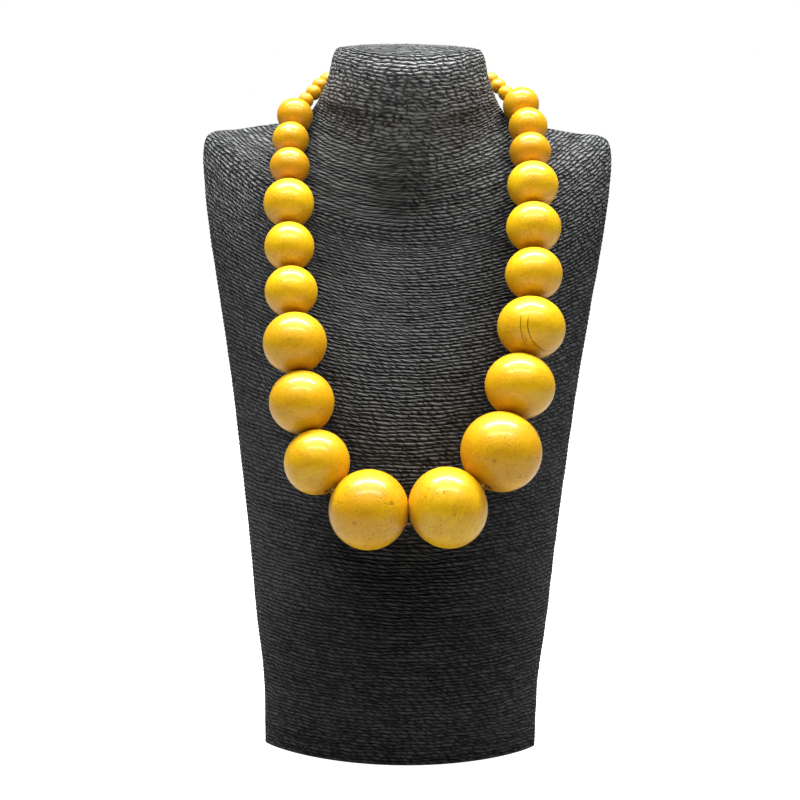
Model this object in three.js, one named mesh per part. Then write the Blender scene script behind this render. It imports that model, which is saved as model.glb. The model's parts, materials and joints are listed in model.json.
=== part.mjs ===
// A necklace of turned wooden beads on a neck bust that is wound with paper twine.
// Millimetres. X runs across the shoulders, +Y points to the back and +Z up.
// The origin is the middle of the flat face that the bust stands on.

import * as THREE from 'three';

// ---- driving dimensions ----

const GAP = 0.3;                    // clearance between neighbours that touch on the real necklace
const THREAD_RADIUS = 0.5;
const THREAD_SIDES = 8;
const CLASP_RADIUS = 3.2;
const CLASP_NOSE_RADIUS = 1.4;      // the clasp narrows to this at each end
const CLASP_SHOULDER_RADIUS = 2.6;
const CLASP_SHOULDER = 0.72;        // where the shoulders sit, as a share of half the clasp's length
const CLASP_STRAIGHT = 0.4;         // the straight middle of the barrel, as the same share
const CLASP_SIDES = 16;
const SMALL_BEAD = { diameter: 8, length: 7.5 };
const SMALL_BEADS = { left: 9, right: 8 };
const BIG_BEAD_SEGMENTS = { round: 16, arc: 8 };
const SMALL_BEAD_SEGMENTS = { round: 10, arc: 6 };
const SETTLING_TURNS = 12;
const ROUTE_STEPS = 20000;          // how finely the route is searched for the next bead's place
const ORANGE_BELOW_DIAMETER = 22;   // the dye is more orange on beads under this
const GOLDEN_ABOVE_DIAMETER = 35;   // and golden on beads over this, with yellow ones between
const BUST_COLUMNS = 40;            // points round each loop of the bust
const BUST_ROWS_PER_STATION = 2;
const BUST_BACK_ROUNDNESS = 1;      // 1 is an ellipse, less is flatter
const CAP_TOP = new THREE.Vector3(0, 50, 352);
const CAP_ROWS = 4;

// The bust is a stack of closed loops, one for each station. A loop passes through the middle of
// the front, the side edge and the middle of the back, and above the chest it rises from the front
// to the shoulders. roundness shapes its front: 1 is an ellipse, more is closer to a pointed lens.
const STATIONS = [
  { sideX: 69, sideY: -10, sideZ: 0, frontY: -40, frontZ: 0, backY: 42, backZ: 0, roundness: 1.6 },
  { sideX: 70, sideY: -9, sideZ: 36, frontY: -49, frontZ: 37, backY: 45, backZ: 36, roundness: 1.6 },
  { sideX: 74, sideY: -6, sideZ: 68, frontY: -55, frontZ: 69, backY: 49, backZ: 68, roundness: 1.6 },
  { sideX: 77, sideY: -2, sideZ: 99, frontY: -58, frontZ: 100, backY: 54, backZ: 99, roundness: 1.7 },
  { sideX: 82, sideY: 5, sideZ: 140, frontY: -57, frontZ: 138, backY: 59, backZ: 140, roundness: 1.7 },
  { sideX: 88, sideY: 15, sideZ: 183, frontY: -48, frontZ: 174, backY: 64, backZ: 183, roundness: 1.7 },
  { sideX: 95, sideY: 28, sideZ: 222, frontY: -34, frontZ: 206, backY: 69, backZ: 222, roundness: 1.75 },
  { sideX: 101, sideY: 40, sideZ: 253, frontY: -19, frontZ: 228, backY: 74, backZ: 253, roundness: 1.75 },
  { sideX: 105, sideY: 50, sideZ: 280, frontY: -6, frontZ: 246, backY: 79, backZ: 280, roundness: 1.75 },
  { sideX: 106, sideY: 57, sideZ: 298, frontY: 2, frontZ: 255, backY: 82, backZ: 297, roundness: 1.75 },
  { sideX: 102, sideY: 61, sideZ: 306, frontY: 6, frontZ: 262, backY: 84, backZ: 303, roundness: 1.75 },
  { sideX: 87, sideY: 64, sideZ: 308, frontY: 10, frontZ: 274, backY: 86, backZ: 306, roundness: 1.75 },
  { sideX: 69, sideY: 65, sideZ: 311, frontY: 11, frontZ: 287, backY: 87, backZ: 309, roundness: 1.7 },
  { sideX: 54, sideY: 64, sideZ: 315, frontY: 11, frontZ: 299, backY: 87, backZ: 313, roundness: 1.6 },
  { sideX: 48.5, sideY: 56, sideZ: 320, frontY: 11, frontZ: 309, backY: 87, backZ: 318, roundness: 1.5 },
  { sideX: 45, sideY: 50, sideZ: 326, frontY: 10, frontZ: 318, backY: 87, backZ: 325, roundness: 1.2 },
  { sideX: 41, sideY: 48, sideZ: 336, frontY: 10, frontZ: 329, backY: 87, backZ: 335, roundness: 1.0 },
  { sideX: 39, sideY: 47, sideZ: 345, frontY: 11, frontZ: 338, backY: 86, backZ: 344, roundness: 1.0 },
  { sideX: 37, sideY: 47, sideZ: 349, frontY: 13, frontZ: 343, backY: 84, backZ: 348, roundness: 1.0 },
];

// The line that the bead centres follow: from the middle of the back down the left side,
// across the chest and up the right side.
const ROUTE = [
  [0, 92, 339], [-25, 87, 338], [-42, 70, 333.5], [-49, 56.5, 326.5], [-57.5, 42.5, 315],
  [-58.5, 17, 290], [-57, -9, 253], [-52.5, -37, 210], [-48.5, -50, 184], [-39.5, -64, 156],
  [-16, -75, 138], [20.5, -75, 139.5], [45, -62, 163], [54, -46, 190.5], [60, -31, 217],
  [62, -4.5, 262], [61.5, 24, 298], [58.5, 52, 321], [49.5, 62.5, 328.5], [43, 73.5, 334.5],
  [25, 88, 338.5],
];
const MIDDLE_BEAD_POINT = 11;       // the row of ROUTE where the middle bead sits

// Diameter across the thread and length along it, from the middle bead upwards on each side.
const MIDDLE_BEAD = { diameter: 38, length: 36 };
const LEFT_BEADS = [
  { diameter: 37.5, length: 36.4 }, { diameter: 31, length: 30 }, { diameter: 31, length: 29.5 },
  { diameter: 30.5, length: 29 }, { diameter: 25.5, length: 24.5 }, { diameter: 24.5, length: 24 },
  { diameter: 25, length: 24 }, { diameter: 20, length: 18.5 }, { diameter: 18.5, length: 17 },
  { diameter: 18.5, length: 17 },
];
const RIGHT_BEADS = [
  { diameter: 38.5, length: 37 }, { diameter: 33.5, length: 30.5 }, { diameter: 33, length: 29.5 },
  { diameter: 28, length: 25.5 }, { diameter: 27, length: 24.5 }, { diameter: 25.5, length: 23.5 },
  { diameter: 21, length: 18.5 }, { diameter: 20, length: 18 }, { diameter: 19, length: 17 },
];

// ---- materials ----

const wood = (color) => new THREE.MeshStandardMaterial({ color, roughness: 0.3, metalness: 0 });
const beadDye = { golden: 0xd9a21b, yellow: 0xddae22, orange: 0xd6931a };
const twineMaterial = new THREE.MeshStandardMaterial({ color: 0x2b2c2e, roughness: 0.8, metalness: 0 });
const threadMaterial = new THREE.MeshStandardMaterial({ color: 0x8a6a24, roughness: 0.9, metalness: 0 });
const claspMaterial = new THREE.MeshStandardMaterial({ color: 0xb08d4a, roughness: 0.3, metalness: 1 });

const necklace = new THREE.Group();

function add(name, geometry, material) {
  const mesh = new THREE.Mesh(geometry, material);
  mesh.name = name;
  necklace.add(mesh);
  return mesh;
}

// ---- the bust ----

// The front and back guides carry each station's roundness where x would be.
const guide = (toPoint) => new THREE.CatmullRomCurve3(STATIONS.map(toPoint), false, 'catmullrom', 0.5);
const sideGuide = guide((s) => new THREE.Vector3(s.sideX, s.sideY, s.sideZ));
const frontGuide = guide((s) => new THREE.Vector3(s.roundness, s.frontY, s.frontZ));
const backGuide = guide((s) => new THREE.Vector3(BUST_BACK_ROUNDNESS, s.backY, s.backZ));

// A point on the loop at height t (0 base, 1 top), at an angle measured from the middle of the front.
function bustPoint(t, angle) {
  const sine = Math.sin(angle);
  const cosine = Math.cos(angle);
  const side = sideGuide.getPoint(t);
  const middle = (cosine > 0 ? frontGuide : backGuide).getPoint(t);
  const bulge = Math.abs(cosine) ** middle.x;
  return new THREE.Vector3(
    side.x * sine,
    side.y + (middle.y - side.y) * bulge,
    middle.z + (side.z - middle.z) * sine ** 2,
  );
}

// The top is a low dome: the last loop shrinks towards CAP_TOP along a quarter of an ellipse.
function capPoint(row, angle) {
  const lift = (row / CAP_ROWS) * (Math.PI / 2);
  const rim = bustPoint(1, angle);
  const point = CAP_TOP.clone().lerp(rim, Math.cos(lift));
  point.z = rim.z + (CAP_TOP.z - rim.z) * Math.sin(lift);
  return point;
}

function bustGeometry() {
  const rows = (STATIONS.length - 1) * BUST_ROWS_PER_STATION;
  const points = [];
  for (let row = 0; row <= rows + CAP_ROWS - 1; row++) {
    for (let column = 0; column < BUST_COLUMNS; column++) {
      const angle = (column / BUST_COLUMNS) * 2 * Math.PI;
      points.push(row <= rows ? bustPoint(row / rows, angle) : capPoint(row - rows, angle));
    }
  }
  const loops = points.length / BUST_COLUMNS;
  const base = points.push(new THREE.Vector3(0, 0, 0)) - 1;
  const top = points.push(CAP_TOP.clone()) - 1;
  const faces = [];
  for (let column = 0; column < BUST_COLUMNS; column++) {
    const next = (column + 1) % BUST_COLUMNS;
    faces.push(base, next, column);
    for (let loop = 0; loop < loops - 1; loop++) {
      const low = loop * BUST_COLUMNS;
      const high = low + BUST_COLUMNS;
      faces.push(low + column, low + next, high + next);
      faces.push(low + column, high + next, high + column);
    }
    const last = (loops - 1) * BUST_COLUMNS;
    faces.push(last + column, last + next, top);
  }
  const geometry = new THREE.BufferGeometry().setFromPoints(points);
  geometry.setIndex(faces);
  return geometry;
}

// ---- beads ----

const boreRadius = (bead) => 0.8 + 0.04 * bead.diameter;

// Half an ellipse turned about the thread, cut off where the straight bore opens.
function beadGeometry(bead, segments) {
  const radius = bead.diameter / 2;
  const mouth = Math.acos(boreRadius(bead) / radius);
  const halfHeight = bead.length / 2 / Math.sin(mouth);
  const profile = [];
  for (let i = 0; i <= segments.arc; i++) {
    const angle = mouth * ((2 * i) / segments.arc - 1);
    profile.push(new THREE.Vector2(radius * Math.cos(angle), halfHeight * Math.sin(angle)));
  }
  profile.push(profile[0].clone());
  return new THREE.LatheGeometry(profile, segments.round);
}

const route = new THREE.CatmullRomCurve3(ROUTE.map((p) => new THREE.Vector3(...p)), true);

// The next place on the route, in the direction of step, that lies a given distance from a point.
function placeAtDistance(from, t, distance, direction) {
  const step = direction / ROUTE_STEPS;
  let next = t;
  while (route.getPoint(((next % 1) + 1) % 1).distanceTo(from) < distance) next += step;
  return next;
}

function stringBeads(beads, direction, start) {
  let { t } = start;
  let previous = start;
  return beads.map((bead) => {
    const reach = (bead.length + previous.length) / 2 + GAP;
    t = placeAtDistance(previous.centre, t, reach, direction);
    previous = { ...bead, t, centre: route.getPoint(((t % 1) + 1) % 1) };
    return previous;
  });
}

const twoDigits = (n) => String(n).padStart(2, '0');
const sized = (rows, side, first, step) =>
  rows.map((row, i) => ({ ...row, name: `bead_${side}_${twoDigits(first + i * step)}` }));
const smallBeads = (side) =>
  Array.from({ length: SMALL_BEADS[side] }, (_, i) => (
    { ...SMALL_BEAD, name: `bead_back_${side}_${twoDigits(i + 1)}` }));

const middleT = MIDDLE_BEAD_POINT / ROUTE.length;
const middle = { ...MIDDLE_BEAD, name: 'bead_middle', t: middleT, centre: route.getPoint(middleT) };
const leftSide = stringBeads([...sized(LEFT_BEADS, 'left', 10, -1), ...smallBeads('left')], -1, middle);
const rightSide = stringBeads([...sized(RIGHT_BEADS, 'right', 9, -1), ...smallBeads('right')], 1, middle);
const beads = [...leftSide.reverse(), middle, ...rightSide];

const mouthOf = (bead, end) => bead.centre.clone().addScaledVector(bead.axis, (end * bead.length) / 2);

// Each bore first halves the angle between the directions to the bead's two neighbours. Then the
// beads turn a little at a time, as they do on a taut thread, until the mouths face each other.
const unit = (from, to) => to.clone().sub(from).normalize();
for (const [i, bead] of beads.entries()) {
  const before = beads.at(i - 1).centre;
  const after = beads[(i + 1) % beads.length].centre;
  bead.axis = unit(before, bead.centre).add(unit(bead.centre, after)).normalize();
}
for (let turn = 0; turn < SETTLING_TURNS; turn++) {
  const entries = beads.map((bead, i) => mouthOf(bead, -1).lerp(mouthOf(beads.at(i - 1), 1), 0.5));
  for (let i = 1; i < beads.length - 1; i++) beads[i].axis = unit(entries[i], entries[i + 1]);
}

function dyeOf(bead) {
  if (bead.diameter < ORANGE_BELOW_DIAMETER) return beadDye.orange;
  return bead.diameter > GOLDEN_ABOVE_DIAMETER ? beadDye.golden : beadDye.yellow;
}

beads.forEach((bead) => {
  const segments = bead.diameter === SMALL_BEAD.diameter ? SMALL_BEAD_SEGMENTS : BIG_BEAD_SEGMENTS;
  const mesh = add(bead.name, beadGeometry(bead, segments), wood(dyeOf(bead)));
  mesh.position.copy(bead.centre);
  mesh.quaternion.setFromUnitVectors(new THREE.Vector3(0, 1, 0), bead.axis);
});

// ---- the clasp, a barrel that fills the space between the last two beads ----

const claspStart = mouthOf(beads.at(-1), 1);
const claspEnd = mouthOf(beads.at(0), -1);
const claspAxis = claspEnd.clone().sub(claspStart).normalize();
const claspLength = claspEnd.distanceTo(claspStart) - 2 * GAP;

function claspGeometry(length) {
  const half = length / 2;
  const lower = [
    [0, -half],
    [CLASP_NOSE_RADIUS, -half],
    [CLASP_SHOULDER_RADIUS, -half * CLASP_SHOULDER],
    [CLASP_RADIUS, -half * CLASP_STRAIGHT],
  ];
  const upper = lower.map(([x, y]) => [x, -y]).reverse();
  const outline = [...lower, ...upper].map(([x, y]) => new THREE.Vector2(x, y));
  return new THREE.LatheGeometry(outline, CLASP_SIDES);
}

const clasp = add('clasp', claspGeometry(claspLength), claspMaterial);
clasp.position.copy(claspStart).lerp(claspEnd, 0.5);
clasp.quaternion.setFromUnitVectors(new THREE.Vector3(0, 1, 0), claspAxis);

// ---- the thread, bending in the middle of each bead and between two beads, up to the clasp ----

class ThreadLine extends THREE.Curve {
  constructor(stops) {
    super();
    this.stops = stops;
  }

  getPoint(t, target = new THREE.Vector3()) {
    const place = THREE.MathUtils.clamp(t, 0, 1) * (this.stops.length - 1);
    const i = Math.min(Math.floor(place), this.stops.length - 2);
    return target.lerpVectors(this.stops[i], this.stops[i + 1], place - i);
  }

  getPointAt(u, target) {
    return this.getPoint(u, target);
  }

  getTangentAt(u, target) {
    return this.getTangent(u, target);
  }
}

const stops = beads.flatMap((bead, i) => {
  const before = beads[Math.max(i - 1, 0)];
  const nearer = boreRadius(bead) / (boreRadius(bead) + boreRadius(before));
  const entry = i === 0 ? mouthOf(bead, -1) : mouthOf(bead, -1).lerp(mouthOf(before, 1), nearer);
  return [entry, bead.centre];
});
stops.push(mouthOf(beads.at(-1), 1));
const threadLine = new ThreadLine(stops);
const threadSection = new THREE.Shape();
for (let i = 0; i < THREAD_SIDES; i++) {
  const angle = (i / THREAD_SIDES) * 2 * Math.PI;
  const corner = new THREE.Vector2(THREAD_RADIUS * Math.cos(angle), THREAD_RADIUS * Math.sin(angle));
  if (i === 0) threadSection.moveTo(corner.x, corner.y);
  else threadSection.lineTo(corner.x, corner.y);
}
const threadSteps = stops.length - 1;
const threadOptions = { steps: threadSteps, extrudePath: threadLine, bevelEnabled: false, curveSegments: 1 };
add('thread', new THREE.ExtrudeGeometry(threadSection, threadOptions), threadMaterial);

add('bust', bustGeometry(), twineMaterial);

export default necklace;
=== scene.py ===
"""A string of turned, dyed and lacquered wooden beads on a neck bust wound with black paper twine.

Every new surface is a grid of points worked out with numpy from a formula in two parameters, and
all of it is in metres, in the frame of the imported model.
"""
import json

import bpy
import numpy as np
from mathutils import Matrix


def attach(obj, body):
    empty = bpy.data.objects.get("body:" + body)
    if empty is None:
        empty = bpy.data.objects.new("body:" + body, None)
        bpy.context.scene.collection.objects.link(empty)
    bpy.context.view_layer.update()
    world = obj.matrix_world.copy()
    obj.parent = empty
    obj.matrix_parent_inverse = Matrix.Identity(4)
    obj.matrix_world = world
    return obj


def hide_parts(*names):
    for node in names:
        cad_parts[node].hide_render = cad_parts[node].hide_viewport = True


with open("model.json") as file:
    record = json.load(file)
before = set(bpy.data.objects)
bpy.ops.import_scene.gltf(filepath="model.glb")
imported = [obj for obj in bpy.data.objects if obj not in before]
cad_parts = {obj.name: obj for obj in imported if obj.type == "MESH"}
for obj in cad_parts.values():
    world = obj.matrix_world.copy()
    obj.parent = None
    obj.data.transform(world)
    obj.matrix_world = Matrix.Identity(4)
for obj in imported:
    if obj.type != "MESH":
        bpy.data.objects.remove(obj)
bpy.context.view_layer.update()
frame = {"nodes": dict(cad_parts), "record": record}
nodes = frame["nodes"]
MM = 0.001

# ---------------------------------------------------------------- shader maths


class Wire:
    """One socket of a shader, with the operators that add a Math node."""

    def __init__(self, tree, socket):
        self.tree = tree
        self.socket = socket

    def maths(self, operation, *others):
        """A Math node on this value and the others."""
        return self.tree.add("ShaderNodeMath", {"operation": operation}, self, *others)

    def __add__(self, other):
        return self.maths("ADD", other)

    __radd__ = __add__

    def __mul__(self, other):
        return self.maths("MULTIPLY", other)

    __rmul__ = __mul__

    def __sub__(self, other):
        return self.maths("SUBTRACT", other)

    def __rsub__(self, other):
        return self.tree.add("ShaderNodeMath", {"operation": "SUBTRACT"}, other, self)

    def __pow__(self, other):
        return self.maths("POWER", other)

    def step(self, low, high, start=0.0, end=1.0):
        """Smoothly start below low and end above high."""
        settings = {"interpolation_type": "SMOOTHSTEP"}
        return self.tree.add("ShaderNodeMapRange", settings, self, low, high, start, end)


class Finish:
    """A material, or the room's light, whose nodes are written as expressions."""

    def __init__(self, name, kind="materials", shader="BsdfPrincipled", output="OutputMaterial"):
        self.material = getattr(bpy.data, kind).new(name)
        self.material.use_nodes = True
        self.nodes = self.material.node_tree.nodes
        self.links = self.material.node_tree.links
        self.nodes.clear()
        self.shader = self.nodes.new("ShaderNode" + shader)
        self.links.new(self.shader.outputs[0], self.nodes.new("ShaderNode" + output).inputs[0])

    def put(self, socket, value):
        """Links a wire to a socket, or sets a plain value on it."""
        if isinstance(value, Wire):
            self.links.new(value.socket, socket)
        elif value is not None:
            socket.default_value = value

    def add(self, kind, settings=None, *values, out=0, **named):
        """A node of one kind: its settings first, then its sockets in order or by name."""
        node = self.nodes.new(kind)
        for key, setting in (settings or {}).items():
            setattr(node, key, setting)
        sockets = [socket for socket in node.inputs if socket.enabled]
        for socket, value in zip(sockets, values):
            self.put(socket, value)
        for key, value in named.items():
            self.put(next(s for s in sockets if s.name == key.replace("_", " ")), value)
        outputs = [socket for socket in node.outputs if socket.enabled]
        return Wire(self, outputs[out] if isinstance(out, int) else node.outputs[out])

    def place(self):
        """Object coordinates, in metres."""
        return self.add("ShaderNodeTexCoord", out="Object")

    def attribute(self, name, out="Fac"):
        """What a piece stores on its points: a number, or three of them from Vector."""
        return self.add("ShaderNodeAttribute", {"attribute_name": name}, out=out)

    def noise(self, where, scale, detail=3.0, roughness=0.55, distortion=0.0):
        """Cloudy values round 0.5, with a set number of lumps to the metre."""
        return self.add("ShaderNodeTexNoise", None, Vector=where, Scale=scale, Detail=detail,
                        Roughness=roughness, Distortion=distortion)

    def stretch(self, where, scale, shift=(0.0, 0.0, 0.0)):
        """Coordinates scaled on each axis and then moved."""
        return self.add("ShaderNodeVectorMath", {"operation": "MULTIPLY_ADD"}, where, scale, shift)

    def mix(self, share, first, second):
        """first where share is 0 and second where it is 1, for colours."""
        return self.add("ShaderNodeMix", {"data_type": "RGBA"}, share, first, second)

    def measure(self, operation, first, second):
        """The one number that two vectors give, such as their distance."""
        return self.add("ShaderNodeVectorMath", {"operation": operation}, first, second,
                        out="Value")

    def relief(self, height, depth, under=None):
        """A bump of the given depth in metres, on top of another one."""
        return self.add("ShaderNodeBump", None, Strength=1.0, Distance=depth, Height=height,
                        Normal=under)

    def surface(self, **values):
        """Sets the sockets of the main shader."""
        for key, value in values.items():
            self.put(self.shader.inputs[key.replace("_", " ")], value)
        return self.material


# ---------------------------------------------------------------- meshes from grids


def grid_faces(rows, columns):
    """Quads of a grid stored row by row, where each row wraps round to its own start."""
    row = np.arange(rows - 1)[:, None] * columns
    column = np.arange(columns)[None, :]
    after = (column + 1) % columns
    corners = (row + column, row + after, row + columns + after, row + columns + column)
    return np.stack(np.broadcast_arrays(*corners), axis=-1).reshape(-1, 4)


def fan_faces(first, columns, tip):
    """Triangles from a ring of points, whose numbers start at first, to the one point tip."""
    ring = np.arange(columns)
    return np.stack([first + ring, first + (ring + 1) % columns, np.full(columns, tip)], axis=1)


def make_piece(name, points, quads, material, triangles=None, attributes=None):
    """A mesh object from arrays of points and faces, with float attributes on its points."""
    mesh = bpy.data.meshes.new(name)
    triangles = np.empty((0, 3), int) if triangles is None else triangles
    loops = np.concatenate([quads.ravel(), triangles.ravel()])
    sizes = np.concatenate([np.full(len(quads), 4), np.full(len(triangles), 3)])
    mesh.vertices.add(len(points))
    mesh.vertices.foreach_set("co", points.astype(np.float32).ravel())
    mesh.loops.add(len(loops))
    mesh.loops.foreach_set("vertex_index", loops.astype(np.int32))
    mesh.polygons.add(len(sizes))
    starts = np.concatenate([[0], np.cumsum(sizes)[:-1]])
    mesh.polygons.foreach_set("loop_start", starts.astype(np.int32))
    mesh.polygons.foreach_set("use_smooth", np.full(len(sizes), True))
    for key, values in (attributes or {}).items():
        layer = mesh.attributes.new(key, "FLOAT", "POINT")
        layer.data.foreach_set("value", values.astype(np.float32).ravel())
    mesh.update(calc_edges=True)
    mesh.validate()
    mesh.materials.append(material)
    piece = bpy.data.objects.new(name, mesh)
    bpy.context.scene.collection.objects.link(piece)
    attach(piece, "root")
    return piece


# ---------------------------------------------------------------- the bust's form

# The stations that the bust's loops run through, in millimetres: the side edge (x, y, z), the
# middle of the front (y, z), the middle of the back (y, z), and the roundness of the front.
STATIONS = np.array([
    (69, -10, 0, -40, 0, 42, 0, 1.6), (70, -9, 36, -49, 37, 45, 36, 1.6),
    (74, -6, 68, -55, 69, 49, 68, 1.6), (77, -2, 99, -58, 100, 54, 99, 1.7),
    (82, 5, 140, -57, 138, 59, 140, 1.7), (88, 15, 183, -48, 174, 64, 183, 1.7),
    (95, 28, 222, -34, 206, 69, 222, 1.75), (101, 40, 253, -19, 228, 74, 253, 1.75),
    (105, 50, 280, -6, 246, 79, 280, 1.75), (106, 57, 298, 2, 255, 82, 297, 1.75),
    (102, 61, 306, 6, 262, 84, 303, 1.75), (87, 64, 308, 10, 274, 86, 306, 1.75),
    (69, 65, 311, 11, 287, 87, 309, 1.7), (54, 64, 315, 11, 299, 87, 313, 1.6),
    (48.5, 56, 320, 11, 309, 87, 318, 1.5), (45, 50, 326, 10, 318, 87, 325, 1.2),
    (41, 48, 336, 10, 329, 87, 335, 1.0), (39, 47, 345, 11, 338, 86, 344, 1.0),
    (37, 47, 349, 13, 343, 84, 348, 1.0),
])
CAP_TOP = np.array([0.0, 50.0, 352.0])
CAP_DIP = 0.6               # of the winding below the cap's top
TWINE_PITCH = 1.95          # from one strand of twine to the next
TWINE_DEPTH = 0.5           # of the valley between two strands
TWINE_ROWS = 6              # rows of points across one strand
VALLEY_WANDER = 0.55        # of a valley up and down, as a share of the pitch
VALLEY_SHIFT = 0.1          # of one whole valley, as a share of the pitch
VALLEY_WAVES = (3, 5, 7, 11, 17, 26)
WINDING_SINK = 0.12         # of all the strands below the bust's form
STRAND_SINK = 0.3           # of single strands, more in some places than in others
SINK_WAVES = (2, 4, 9, 13, 21)
FOOT_SINK = 0.3             # of the lowest edge
BOARD_STEPS = (1.0, 0.985, 0.5)     # the base board's loops, as shares of the lowest edge
BUST_COLUMNS = 300
BUST_PIECES = 5

# The twine's material: grooves between plies and dashes of light and dark, both to the metre of
# strand, how far a groove slants across its strand, and half a turn in radians.
PLY_GROOVES = 205.0
TWINE_DASHES = 260.0
PLY_SLANT = 0.6
HALF_TURN = 3.14159

# The beads: the bore's radius in millimetres with its share of the diameter, the lip as a share
# of the bore, and the rows from mouth to mouth and columns round of the two kinds of grid.
BORE_RADIUS = 0.8
BORE_SHARE = 0.04
LIP_SHARE = 0.35
BIG_BEAD_GRID = (34, 64)
SMALL_BEAD_GRID = (18, 32)
LATHE_MARKS = 160.0         # radians of turning marks from the middle of a bore to its mouth

# A split line in a bead, in metres: its wander, its half width from full to nothing, and the
# height over which its ends fade.
CRACK_WANDER = 0.0009
CRACK_EDGE = (0.00005, 0.00026)
CRACK_FADE = 0.004

# The room, in metres and degrees.
FLOOR_RADIUS = 6.0
FLOOR_SIDES = 96
FLOOR_GAP = 0.0005
STRIP_SIZE = (1.1, 0.07)
STRIP_TARGET = (0.0, 0.0, 0.2)
CAMERA_PLACE = (-0.0022, -0.8637, 0.3286)
CAMERA_PITCH = 10.0
CAMERA_ROLL = 0.73


def guide(values, t):
    """A uniform Catmull-Rom curve through rows of values, for t from 0 to 1: each stretch is a
    cubic whose end slopes are half the difference of the neighbours, and the ends are mirrored."""
    rows = np.concatenate([[2 * values[0] - values[1]], values, [2 * values[-1] - values[-2]]])
    place = np.clip(t, 0, 1) * (len(values) - 1)
    i = np.minimum(place.astype(int), len(values) - 2)
    u = (place - i)[..., None]
    p0, p1, p2, p3 = rows[i], rows[i + 1], rows[i + 2], rows[i + 3]
    return 0.5 * (2 * p1 + (p2 - p0) * u + (2 * p0 - 5 * p1 + 4 * p2 - p3) * u ** 2
                  + (3 * p1 - p0 - 3 * p2 + p3) * u ** 3)


def bust_form(t, angle):
    """A point on the loop at t, at an angle from the middle of the front. x is the side's x times
    the sine, y moves from the side's to the middle's with the cosine raised to the roundness, and
    z moves from the middle's to the side's with the sine squared."""
    g = guide(STATIONS, t)
    sine, cosine = np.sin(angle), np.cos(angle)
    front = cosine > 0
    middle_y = np.where(front, g[..., 3], g[..., 5])
    middle_z = np.where(front, g[..., 4], g[..., 6])
    bulge = np.abs(cosine) ** np.where(front, g[..., 7], 1.0)
    return np.stack([
        g[..., 0] * sine,
        g[..., 1] + (middle_y - g[..., 1]) * bulge,
        middle_z + (g[..., 2] - middle_z) * sine ** 2,
    ], axis=-1)


def unit(vectors):
    """Vectors brought to a length of one."""
    return vectors / np.maximum(np.linalg.norm(vectors, axis=-1, keepdims=True), 1e-12)


def outwards(points):
    """Normals of a grid whose rows go up and whose columns go round towards +X from the front."""
    up = np.gradient(points, axis=0)
    round_ = np.roll(points, -1, axis=1) - np.roll(points, 1, axis=1)
    return unit(np.cross(round_, up))


def ripple(rng, shape, waves):
    """A smooth wander over rows and columns, about -1 to 1: a sum of sines round each loop whose
    phase drifts from row to row."""
    row = np.arange(shape[0])[:, None]
    angle = np.linspace(0, 2 * np.pi, shape[1], endpoint=False)[None, :]
    total = np.zeros(shape)
    for wave in waves:
        drift = rng.uniform(-0.9, 0.9)
        total += np.sin(wave * angle + rng.uniform(0, 6.3) + drift * row)
    return total / len(waves)


# ---------------------------------------------------------------- materials


def twine_finish():
    """Black paper twine: two plies twisted together, so a slanting groove crosses each strand
    every few millimetres, with dry fibres, painted shade in its valleys, and paler near the top and
    a little at the foot."""
    f = Finish("paper_twine")
    winding = f.add("ShaderNodeUVMap", {"uv_map": "winding"})
    along = f.add("ShaderNodeSeparateXYZ", None, winding, out="X")
    across = Wire(f, along.socket.node.outputs["Y"])
    strand = across.maths("FLOOR")
    share = across.maths("FRACT")
    own = f.add("ShaderNodeTexWhiteNoise", {"noise_dimensions": "1D"}, strand, out="Value")
    where = f.place()
    run = f.add("ShaderNodeCombineXYZ", None, along * TWINE_DASHES, strand * 17.3, share * 0.6)
    wander = f.noise(run, 0.4, 2.0)
    dash = f.noise(run, 1.0, 3.0, 0.65)
    twist = along * PLY_GROOVES + share * PLY_SLANT + own * 7.0 + wander * 3.0
    ply = (twist * HALF_TURN).maths("SINE").maths("ABSOLUTE")
    crown = 1.0 - ((share - 0.5) * 2.0).maths("ABSOLUTE") ** 2.4
    fibres = f.noise(f.stretch(where, (1.0, 1.0, 4.0)), 900.0, 4.0, 0.65)
    patch = f.noise(where, 28.0, 3.0)
    light = (fibres * 0.5 + patch * 0.4 + own * 0.2 + ply * 0.5 + dash * 1.3).step(1.15, 1.95)
    height = f.add("ShaderNodeSeparateXYZ", None, where, out="Z")
    # Paler towards the top of the neck and the cap, and a little at the foot, by height alone.
    height_paling = height.step(0.235, 0.35) * 0.8 + height.step(0.08, 0.0) * 0.12
    dark = f.mix(height_paling, (0.005, 0.0053, 0.006, 1), (0.035, 0.037, 0.037, 1))
    pale = f.mix(height_paling, (0.052, 0.053, 0.054, 1), (0.26, 0.265, 0.265, 1))
    colour = f.mix(light, dark, pale)
    # Painted shade: the valleys between strands and the dips of the dashes along their crests are
    # darkened towards black, less so towards the top.
    painted_valley_shade = 1.0 - crown * dash.step(0.3, 0.52, 0.25, 1.0)
    colour = f.mix(painted_valley_shade * (0.82 - height_paling * 0.45), colour, (0.003, 0.003, 0.0035, 1))
    creases = f.relief(fibres, 0.00018)
    return f.surface(
        Base_Color=colour,
        Roughness=(fibres * 0.5 + own * 0.12).step(0.1, 0.6, 0.42, 0.7),
        Specular_IOR_Level=0.14,
        Normal=f.relief(ply ** 0.7 * crown * 1.3 + dash * 0.9, 0.001, creases),
    )


def plain_board_finish():
    """The board under the bust, covered with dull black paper."""
    f = Finish("base_board")
    grit = f.noise(f.place(), 700.0, 4.0, 0.6)
    colour = f.mix(grit.step(0.3, 0.7), (0.012, 0.012, 0.013, 1), (0.03, 0.03, 0.031, 1))
    return f.surface(Base_Color=colour, Roughness=grit.step(0.2, 0.8, 0.7, 0.9),
                     Normal=f.relief(grit, 0.0001))


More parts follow.
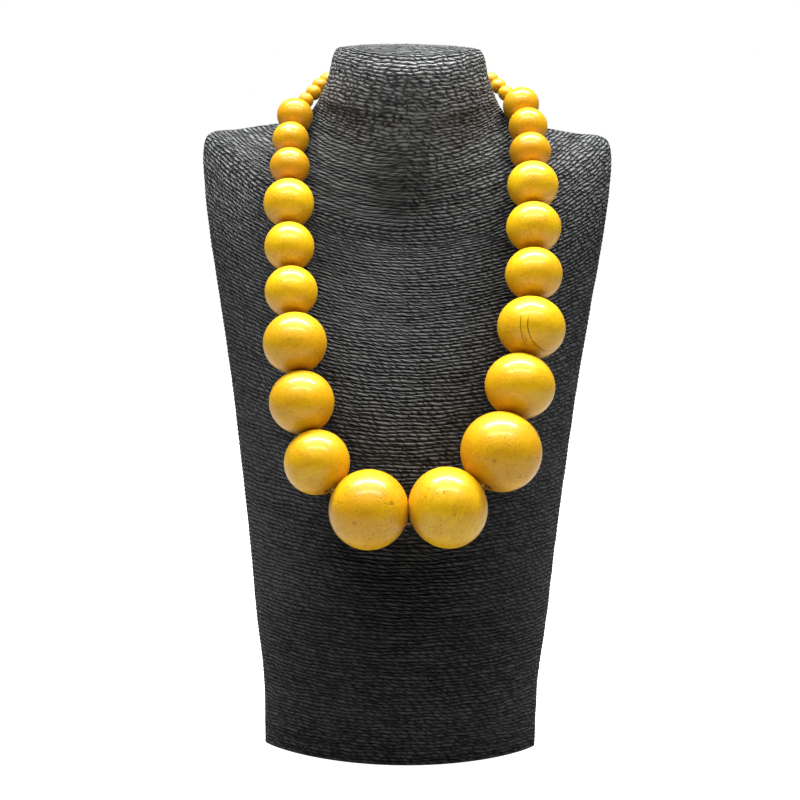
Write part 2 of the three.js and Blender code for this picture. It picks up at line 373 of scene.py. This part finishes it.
def bead_wood_finish(name, pale, deep, pores, cracks=(), spots=(), scuffs=()):
    """Dyed and lacquered wood. Each bead carries where its wood lay in the block, as the attribute
    block in metres with the grain along z, its own tone, and its place along the bore from -1 to 1.

    cracks are (x, y, z, offset, low, high): the circle that a plane cuts on the bead, seen where
    the height is between low and high. spots and scuffs are (x, y, z, size). All of it is in
    metres from the bead's centre, with the directions in the frame of the model.
    """
    f = Finish(name)
    block = f.attribute("block", "Vector")
    centre = f.attribute("from_centre", "Vector")
    tone = f.attribute("tone")
    bore = f.attribute("bore_place")
    cloud = f.noise(block, 55.0, 3.0, 0.5, 0.4)
    streaks = f.noise(f.stretch(block, (900.0, 900.0, 95.0)), 1.0, 4.0, 0.6)
    rings = f.noise(f.stretch(block, (210.0, 210.0, 16.0)), 1.0, 2.0, 0.5, 0.6)
    cells = f.add("ShaderNodeTexVoronoi", {"feature": "F1"}, Scale=1.0, Randomness=1.0,
                  Vector=f.stretch(block, (800.0, 800.0, 340.0)), out="Distance")
    patches = f.noise(f.stretch(block, (1, 1, 1), (0.3, 0.1, 0.2)), 120.0, 3.0, 0.6)
    pore = (1.0 - cells.step(0.1, 0.3)) * patches.step(0.5 - 0.1 * pores, 0.62)
    colour = f.mix((cloud * 1.5 + tone * 0.5 - 0.25).step(0.1, 0.9), pale, deep)
    colour = f.mix(rings.step(0.42, 0.7) * 0.35, colour, deep)
    colour = f.mix(streaks.step(0.35, 0.75) * 0.34, colour, (0.4, 0.17, 0.002, 1))
    mottle = f.noise(f.stretch(block, (1500.0, 1500.0, 600.0)), 1.0, 3.0, 0.7).step(0.5, 0.72)
    mottle = mottle * patches.step(0.38, 0.62) * (0.45 + 0.35 * pores)
    colour = f.mix(mottle, colour, (0.3, 0.12, 0.002, 1))
    colour = f.mix(pore * min(0.75, 0.6 * pores), colour, (0.12, 0.045, 0.004, 1))
    rim = bore.maths("ABSOLUTE").step(0.86, 0.98)
    colour = f.mix(rim * 0.55, colour, (0.42, 0.17, 0.006, 1))
    dent = pore * 0.5 + streaks * 0.12
    for x, y, z, offset, low, high in cracks:
        height = f.measure("DOT_PRODUCT", centre, (0, 0, 1))
        plane = f.measure("DOT_PRODUCT", centre, (x, y, z))
        wander = (f.noise(centre, 260.0, 3.0) - 0.5) * CRACK_WANDER
        near = 1.0 - (plane + wander - offset).maths("ABSOLUTE").step(*CRACK_EDGE)
        seen = height.step(low, low + CRACK_FADE) * (1.0 - height.step(high - CRACK_FADE, high))
        line = near * seen
        colour = f.mix(line * 0.62, colour, (0.06, 0.025, 0.004, 1))
        dent = dent + line * 2.0
    for x, y, z, size in spots:
        away = f.measure("DISTANCE", centre, (x, y, z))
        spot = 1.0 - (away + (f.noise(centre, 900.0, 3.0) - 0.5) * size).step(size * 0.4, size)
        colour = f.mix(spot * 0.5, colour, (0.13, 0.05, 0.005, 1))
        dent = dent + spot * 0.8
    for x, y, z, size in scuffs:
        away = f.measure("DISTANCE", centre, (x, y, z))
        scuff = 1.0 - (away + (f.noise(centre, 700.0, 4.0) - 0.5) * size * 1.6).step(0, size)
        colour = f.mix(scuff * 0.8, colour, (0.72, 0.55, 0.26, 1))
        dent = dent + scuff * 0.6
    turning = (bore * LATHE_MARKS).maths("SINE")
    peel = f.noise(block, 480.0, 2.0) + turning * 0.03
    return f.surface(
        Base_Color=colour,
        Roughness=(cloud + pore * 0.4).step(0.2, 1.1, 0.4, 0.6),
        Specular_IOR_Level=0.22,
        Coat_Weight=0.36 - pore * 0.22 - mottle * 0.12,
        Coat_Roughness=0.2,
        Coat_IOR=1.5,
        Normal=f.relief(1.0 - dent, 0.00022, f.relief(peel, 0.00006)),
    )


def thread_finish():
    """Waxed cotton thread, with fine fibres."""
    f = Finish("bead_thread")
    where = f.place()
    fibre = f.noise(f.stretch(where, (1.0, 1.6, 1.0)), 2400.0, 3.0, 0.6)
    colour = f.mix(fibre.step(0.35, 0.7), (0.16, 0.08, 0.012, 1), (0.46, 0.27, 0.06, 1))
    return f.surface(Base_Color=colour, Roughness=fibre.step(0.2, 0.8, 0.7, 0.9),
                     Normal=f.relief(fibre, 0.0001))


def brass_finish():
    """Lacquered brass that has dulled a little, with fine turning marks round it."""
    f = Finish("clasp_brass")
    where = f.place()
    dull = f.noise(where, 420.0, 4.0, 0.6)
    marks = f.noise(f.stretch(where, (9000.0, 300.0, 300.0)), 1.0, 2.0)
    colour = f.mix(dull.step(0.35, 0.75), (0.72, 0.5, 0.2, 1), (0.42, 0.27, 0.1, 1))
    return f.surface(Base_Color=colour, Metallic=1.0, Roughness=dull.step(0.3, 0.8, 0.22, 0.45),
                     Normal=f.relief(marks, 0.00002))


# ---------------------------------------------------------------- the bust


def wound_places(pitch):
    """Where each valley between two strands lies: 0 to 1 up the sides and 1 to 2 over the cap,
    equal lengths apart, three quarters by the front's length and one quarter by the side's."""
    dense = np.linspace(0, 2, 6001)
    length = np.zeros(len(dense) - 1)
    for angle, weight in ((0.0, 0.75), (np.pi / 2, 0.25)):
        line = bust_shape(dense, np.full(len(dense), angle))
        length += weight * np.linalg.norm(np.diff(line, axis=0), axis=1)
    travelled = np.concatenate([[0], np.cumsum(length)])
    strands = int(round(travelled[-1] / pitch))
    return np.interp(np.linspace(0, travelled[-1], strands + 1), travelled, dense)


def bust_shape(place, angle):
    """The sides for place 0 to 1. From 1 to 2 the last loop shrinks towards the cap's top along a
    quarter of an ellipse: x and y with the cosine of the lift and z with its sine."""
    lift = np.clip(place - 1, 0, 1)[..., None] * (np.pi / 2)
    rim = bust_form(np.minimum(place, 1), angle)
    cap = CAP_TOP + (rim - CAP_TOP) * np.cos(lift)
    cap[..., 2:] = rim[..., 2:] + (CAP_TOP[2] - rim[..., 2:]) * np.sin(lift)
    return cap


def make_bust():
    """The winding: every strand is a rounded ridge, cut inwards from the bust's form, that runs
    round one loop. Its valleys wander a little, and each strand lies at its own depth."""
    rng = np.random.default_rng(7)
    valleys = wound_places(TWINE_PITCH)[:-1]
    strands = len(valleys) - 1
    jitter = VALLEY_WANDER * ripple(rng, (strands + 1, BUST_COLUMNS), VALLEY_WAVES)
    jitter += rng.uniform(-VALLEY_SHIFT, VALLEY_SHIFT, (strands + 1, 1))
    jitter[0] = 0
    number = np.arange(strands + 1)[:, None] + jitter
    share = np.arange(TWINE_ROWS) / TWINE_ROWS
    number = number[:-1, None] + (number[1:] - number[:-1])[:, None] * share[None, :, None]
    number = np.concatenate([number.reshape(-1, BUST_COLUMNS),
                             np.full((1, BUST_COLUMNS), float(strands))])
    place = np.interp(number, np.arange(strands + 1), valleys)
    angle = np.broadcast_to(np.linspace(0, 2 * np.pi, BUST_COLUMNS, endpoint=False), place.shape)
    smooth = bust_shape(place, angle)
    normal = outwards(smooth)
    ridge = np.tile(np.sqrt(1 - (2 * share - 1) ** 2), strands)
    ridge = np.append(ridge, 0.0)[:, None]
    sunk = 0.5 + 0.5 * ripple(rng, (strands, BUST_COLUMNS), SINK_WAVES)
    sunk = np.repeat(sunk + rng.uniform(-0.15, 0.15, (strands, 1)), TWINE_ROWS, axis=0)
    sunk = np.concatenate([sunk, sunk[-1:]])
    depth = WINDING_SINK + TWINE_DEPTH * (1 - ridge) + STRAND_SINK * sunk * ridge
    depth[0] = FOOT_SINK
    points = smooth - normal * depth[..., None]
    points[0, :, 2] = 0
    run = np.cumsum(np.linalg.norm(np.diff(points, axis=1, append=points[:, :1]), axis=2), axis=1)
    run = np.concatenate([np.zeros((len(run), 1)), run], axis=1) * MM
    strand_number = np.append(
        (np.arange(strands)[:, None] + share[None, :] + 0.001).ravel(), strands - 0.001)
    material = twine_finish()
    cuts = np.linspace(0, strands, BUST_PIECES + 1).astype(int) * TWINE_ROWS
    pieces = []
    for index, (low, high) in enumerate(zip(cuts[:-1], cuts[1:])):
        part = points[low:high + 1] * MM
        rows = len(part)
        quads = grid_faces(rows, BUST_COLUMNS)
        flat = part.reshape(-1, 3)
        fans = np.empty((0, 3), int)
        if index == BUST_PIECES - 1:
            flat = np.concatenate([flat, [(CAP_TOP - (0, 0, CAP_DIP)) * MM]])
            fans = fan_faces((rows - 1) * BUST_COLUMNS, BUST_COLUMNS, len(flat) - 1)
        piece = make_piece(f"bust_winding_{index + 1}", flat, quads, material, fans)
        corner_row = np.repeat(np.arange(rows - 1), BUST_COLUMNS)[:, None] + [0, 0, 1, 1]
        corner_column = np.tile(np.arange(BUST_COLUMNS), rows - 1)[:, None] + [0, 1, 1, 0]
        own_rows = corner_row + low
        held = np.minimum(strand_number[own_rows], np.repeat(
            strand_number[own_rows[:, :1]] // 1 + 0.999, 4, axis=1))
        uv = np.stack([run[own_rows, corner_column], held], axis=-1).reshape(-1, 2)
        uv = np.concatenate([uv, np.tile([[0.0, strands - 0.5]], (3 * len(fans), 1))])
        layer = piece.data.uv_layers.new(name="winding")
        layer.data.foreach_set("uv", uv.astype(np.float32).ravel())
        pieces.append(piece)
    rim = points[0] * MM
    board = np.concatenate([rim * (step, step, 1) for step in BOARD_STEPS] + [np.zeros((1, 3))])
    quads = grid_faces(len(BOARD_STEPS), BUST_COLUMNS)
    fans = fan_faces((len(BOARD_STEPS) - 1) * BUST_COLUMNS, BUST_COLUMNS, len(board) - 1)
    base = make_piece("bust_base", board, quads[:, ::-1], plain_board_finish(),
                      fans[:, ::-1])
    for piece in pieces + [base]:
        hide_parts("bust")


# ---------------------------------------------------------------- the beads


def bead_frame(node):
    """Centre, bore direction, diameter and length of a packed bead. The bore is the one direction
    in which the corners' spread differs from the other two, which are alike."""
    mesh = node.data
    corners = np.empty(len(mesh.vertices) * 3, np.float32)
    mesh.vertices.foreach_get("co", corners)
    corners = np.unique(np.round(corners.reshape(-1, 3).astype(float), 7), axis=0)
    centre = corners.mean(axis=0)
    spread, axes = np.linalg.eigh(np.cov((corners - centre).T))
    odd = 0 if spread[1] - spread[0] > spread[2] - spread[1] else 2
    axis = axes[:, odd] * (1 if axes[:, odd] @ (1.0, -0.3, 0.2) > 0 else -1)
    along = (corners - centre) @ axis
    across = np.linalg.norm(corners - centre - along[:, None] * axis, axis=1)
    return centre, axis, 2 * across.max(), np.ptp(along)


def bead_profile(diameter, length, rows):
    """A closed outline as (distance from the bore's line, place along it): an ellipse cut where
    the bore opens, a small rounded lip at each mouth, and the straight wall of the bore."""
    radius = diameter / 2
    bore = BORE_RADIUS * MM + BORE_SHARE * diameter
    lip = LIP_SHARE * bore
    mouth = np.arccos((bore + lip) / radius)
    half = length / 2 / np.sin(mouth)
    sweep = np.linspace(-mouth, mouth, rows)
    outer = np.stack([radius * np.cos(sweep), half * np.sin(sweep)], axis=1)
    turn = np.linspace(0, np.pi / 2, 5)[1:]
    top = np.stack([bore + lip * (1 - np.sin(turn)), length / 2 - lip * (1 - np.cos(turn))], axis=1)
    wall = np.linspace(top[-1, 1], -top[-1, 1], 4)[1:-1]
    inner = np.stack([np.full(len(wall), bore), wall], axis=1)
    return np.concatenate([outer, top, inner, top[::-1] * (1, -1)])


def bead_surface(centre, axis, outline, columns, rng):
    """The outline turned about the bore's line, very slightly out of round: the radius is 0.3
    percent small, and swells and shrinks by as much twice in a turn and by a third as much
    three times in a turn."""
    side = unit(np.cross(axis, (0.0, 0.0, 1.0)))
    front = np.cross(axis, side)
    turn = np.linspace(0, 2 * np.pi, columns, endpoint=False)
    swell = 1 - 0.003 * (1 + np.sin(2 * turn + rng.uniform(0, 6))) \
        + 0.001 * np.sin(3 * turn + rng.uniform(0, 6))
    reach = outline[:, :1] * swell
    return (centre + outline[:, 1, None, None] * axis
            + (reach * np.cos(turn))[..., None] * side
            + (reach * np.sin(turn))[..., None] * front)


def make_bead(name, material, slot, rows, columns, rng):
    """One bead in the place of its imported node, with the wood's place in its block, its tone and
    the place along its bore stored on its points."""
    centre, axis, diameter, length = bead_frame(nodes[name])
    outline = bead_profile(diameter, length, rows)
    points = bead_surface(centre, axis, outline, columns, rng).reshape(-1, 3)
    count = len(outline)
    quads = grid_faces(count + 1, columns) % (count * columns)
    offset = points - centre
    turned = np.linalg.qr(rng.normal(size=(3, 3)))[0]
    block = offset @ turned.T + rng.uniform(-2, 2, 3)
    piece = make_piece(
        f"turned_{name}", points, quads, material,
        attributes={"tone": np.full(len(points), rng.uniform(-0.5, 0.5)),
                    "bore_place": offset @ axis / (length / 2)})
    for key, values in (("block", block), ("from_centre", offset)):
        layer = piece.data.attributes.new(key, "FLOAT_VECTOR", "POINT")
        layer.data.foreach_set("vector", values.astype(np.float32).ravel())
    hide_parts(name)


def make_beads():
    """All the beads, each with its slot's wood, and the marks that single beads carry."""
    golden = dict(pale=(0.68, 0.41, 0.002, 1), deep=(0.6, 0.3, 0.001, 1))
    yellow = dict(pale=(0.72, 0.44, 0.002, 1), deep=(0.64, 0.34, 0.001, 1))
    orange = dict(pale=(0.62, 0.34, 0.002, 1), deep=(0.55, 0.26, 0.001, 1))
    woods = {
        "large_bead_wood": bead_wood_finish("golden_wood", pores=1.0, **golden),
        "medium_bead_wood": bead_wood_finish("yellow_wood", pores=0.55, **yellow),
        "small_bead_wood": bead_wood_finish("orange_wood", pores=0.4, **orange),
    }
    marked = {
        "bead_left_10": bead_wood_finish(
            "golden_wood_pitted", pores=1.3, spots=((0.0105, -0.0138, 0.006, 0.0016),
                                                    (-0.006, -0.0172, -0.002, 0.0012)), **golden),
        "bead_right_09": bead_wood_finish(
            "golden_wood_nicked", pores=1.1, spots=((-0.004, -0.0185, -0.0005, 0.0014),
                                                    (0.008, -0.015, -0.0085, 0.0009)), **golden),
        "bead_right_07": bead_wood_finish(
            "yellow_wood_split", pores=0.7, cracks=(
                (0.643, -0.751, 0.146, 0.0105, -0.0115, 0.008),
                (0.61, -0.78, 0.13, 0.0091, -0.0065, 0.0),
                (0.66, -0.74, 0.14, 0.0072, -0.0085, 0.0085)), **yellow),
        "bead_left_02": bead_wood_finish(
            "orange_wood_scuffed", pores=0.5,
            scuffs=((-0.0004, -0.0070, 0.0058, 0.0018),), **orange),
    }
    rng = np.random.default_rng(21)
    slots = {part["node"]: part["material_slot"] for part in frame["record"]["subparts"]}
    for name in sorted(n for n in nodes if n.startswith("bead_")):
        grid = SMALL_BEAD_GRID if name.startswith("bead_back") else BIG_BEAD_GRID
        make_bead(name, marked.get(name, woods[slots[name]]), slots[name], *grid, rng)


# ---------------------------------------------------------------- floor, lights and camera


def make_floor():
    """A round pale floor, just below the face that the bust stands on."""
    f = Finish("pale_floor")
    grain = f.noise(f.place(), 60.0, 2.0)
    colour = f.mix(grain, (0.48, 0.48, 0.48, 1), (0.53, 0.53, 0.53, 1))
    seen = f.add("ShaderNodeLightPath", out="Is Camera Ray")
    f.surface(Base_Color=colour, Roughness=0.8, Specular_IOR_Level=0.2,
              Emission_Color=f.mix(seen, (0, 0, 0, 1), (1, 1, 1, 1)), Emission_Strength=1.0)
    turn = np.linspace(0, 2 * np.pi, FLOOR_SIDES, endpoint=False)
    ring = np.stack([FLOOR_RADIUS * np.cos(turn), FLOOR_RADIUS * np.sin(turn),
                     np.full(FLOOR_SIDES, -FLOOR_GAP)], axis=1)
    mesh = bpy.data.meshes.new("floor")
    mesh.from_pydata(ring.tolist(), [], [list(range(FLOOR_SIDES))])
    mesh.materials.append(f.material)
    floor = bpy.data.objects.new("floor", mesh)
    bpy.context.scene.collection.objects.link(floor)


def make_light(name, place, target, width, depth, power):
    """A soft rectangular light at a place, facing a target, width across x."""
    data = bpy.data.lights.new(name, "AREA")
    data.shape = "RECTANGLE"
    data.size, data.size_y, data.energy = width, depth, power
    lamp = bpy.data.objects.new(name, data)
    back = unit(np.array(place) - np.array(target))
    right = unit(np.cross((0.0, 1.0, 0.0) if abs(back[2]) > 0.99 else (0.0, 0.0, 1.0), back))
    up = np.cross(back, right)
    matrix = np.eye(4)
    matrix[:3] = np.stack([right, up, back, place], axis=1)
    lamp.matrix_world = Matrix(matrix.tolist())
    bpy.context.scene.collection.objects.link(lamp)


def make_lights():
    """Two strips above, one ahead of the bust and one over it, in a dim white room whose far
    wall is the brighter one."""
    make_light("strip_front", (0.0, -0.42, 0.95), STRIP_TARGET, *STRIP_SIZE, 8.0)
    make_light("strip_top", (0.0, 0.12, 1.0), STRIP_TARGET, *STRIP_SIZE, 30.0)
    f = Finish("room", "worlds", "Background", "OutputWorld")
    direction = f.add("ShaderNodeSeparateXYZ", None, f.add("ShaderNodeTexCoord", out="Generated"),
                      out="Y")
    seen = f.add("ShaderNodeLightPath", out="Is Camera Ray")
    lit = direction.step(-0.3, 0.9, 0.015, 0.16)
    bpy.context.scene.world = f.surface(Strength=lit * (1.0 - seen) + seen, Color=(1, 1, 1, 1))


def make_camera():
    """The viewpoint: ahead of the bust at the height of its neck, ten degrees down."""
    data = bpy.data.cameras.new("camera")
    data.lens, data.sensor_width = 79.1, 36.0
    data.clip_start, data.clip_end = 0.05, 30.0
    pitch, roll = np.radians(CAMERA_PITCH), np.radians(CAMERA_ROLL)
    ahead = np.array([0.0, np.cos(pitch), -np.sin(pitch)])
    above = np.array([0.0, np.sin(pitch), np.cos(pitch)])
    across = np.array([1.0, 0.0, 0.0])
    right = across * np.cos(roll) + above * np.sin(roll)
    up = above * np.cos(roll) - across * np.sin(roll)
    matrix = np.eye(4)
    matrix[:3] = np.stack([right, up, -ahead, CAMERA_PLACE], axis=1)
    camera = bpy.data.objects.new("camera", data)
    camera.matrix_world = Matrix(matrix.tolist())
    bpy.context.scene.collection.objects.link(camera)
    bpy.context.scene.camera = camera


def dress(node_name, material):
    """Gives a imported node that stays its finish."""
    for slot in nodes[node_name].material_slots:
        slot.material = material


make_camera()
make_bust()
make_beads()
dress("thread", thread_finish())
dress("clasp", brass_finish())
make_floor()
make_lights()
bpy.context.scene.view_settings.view_transform = "Standard"
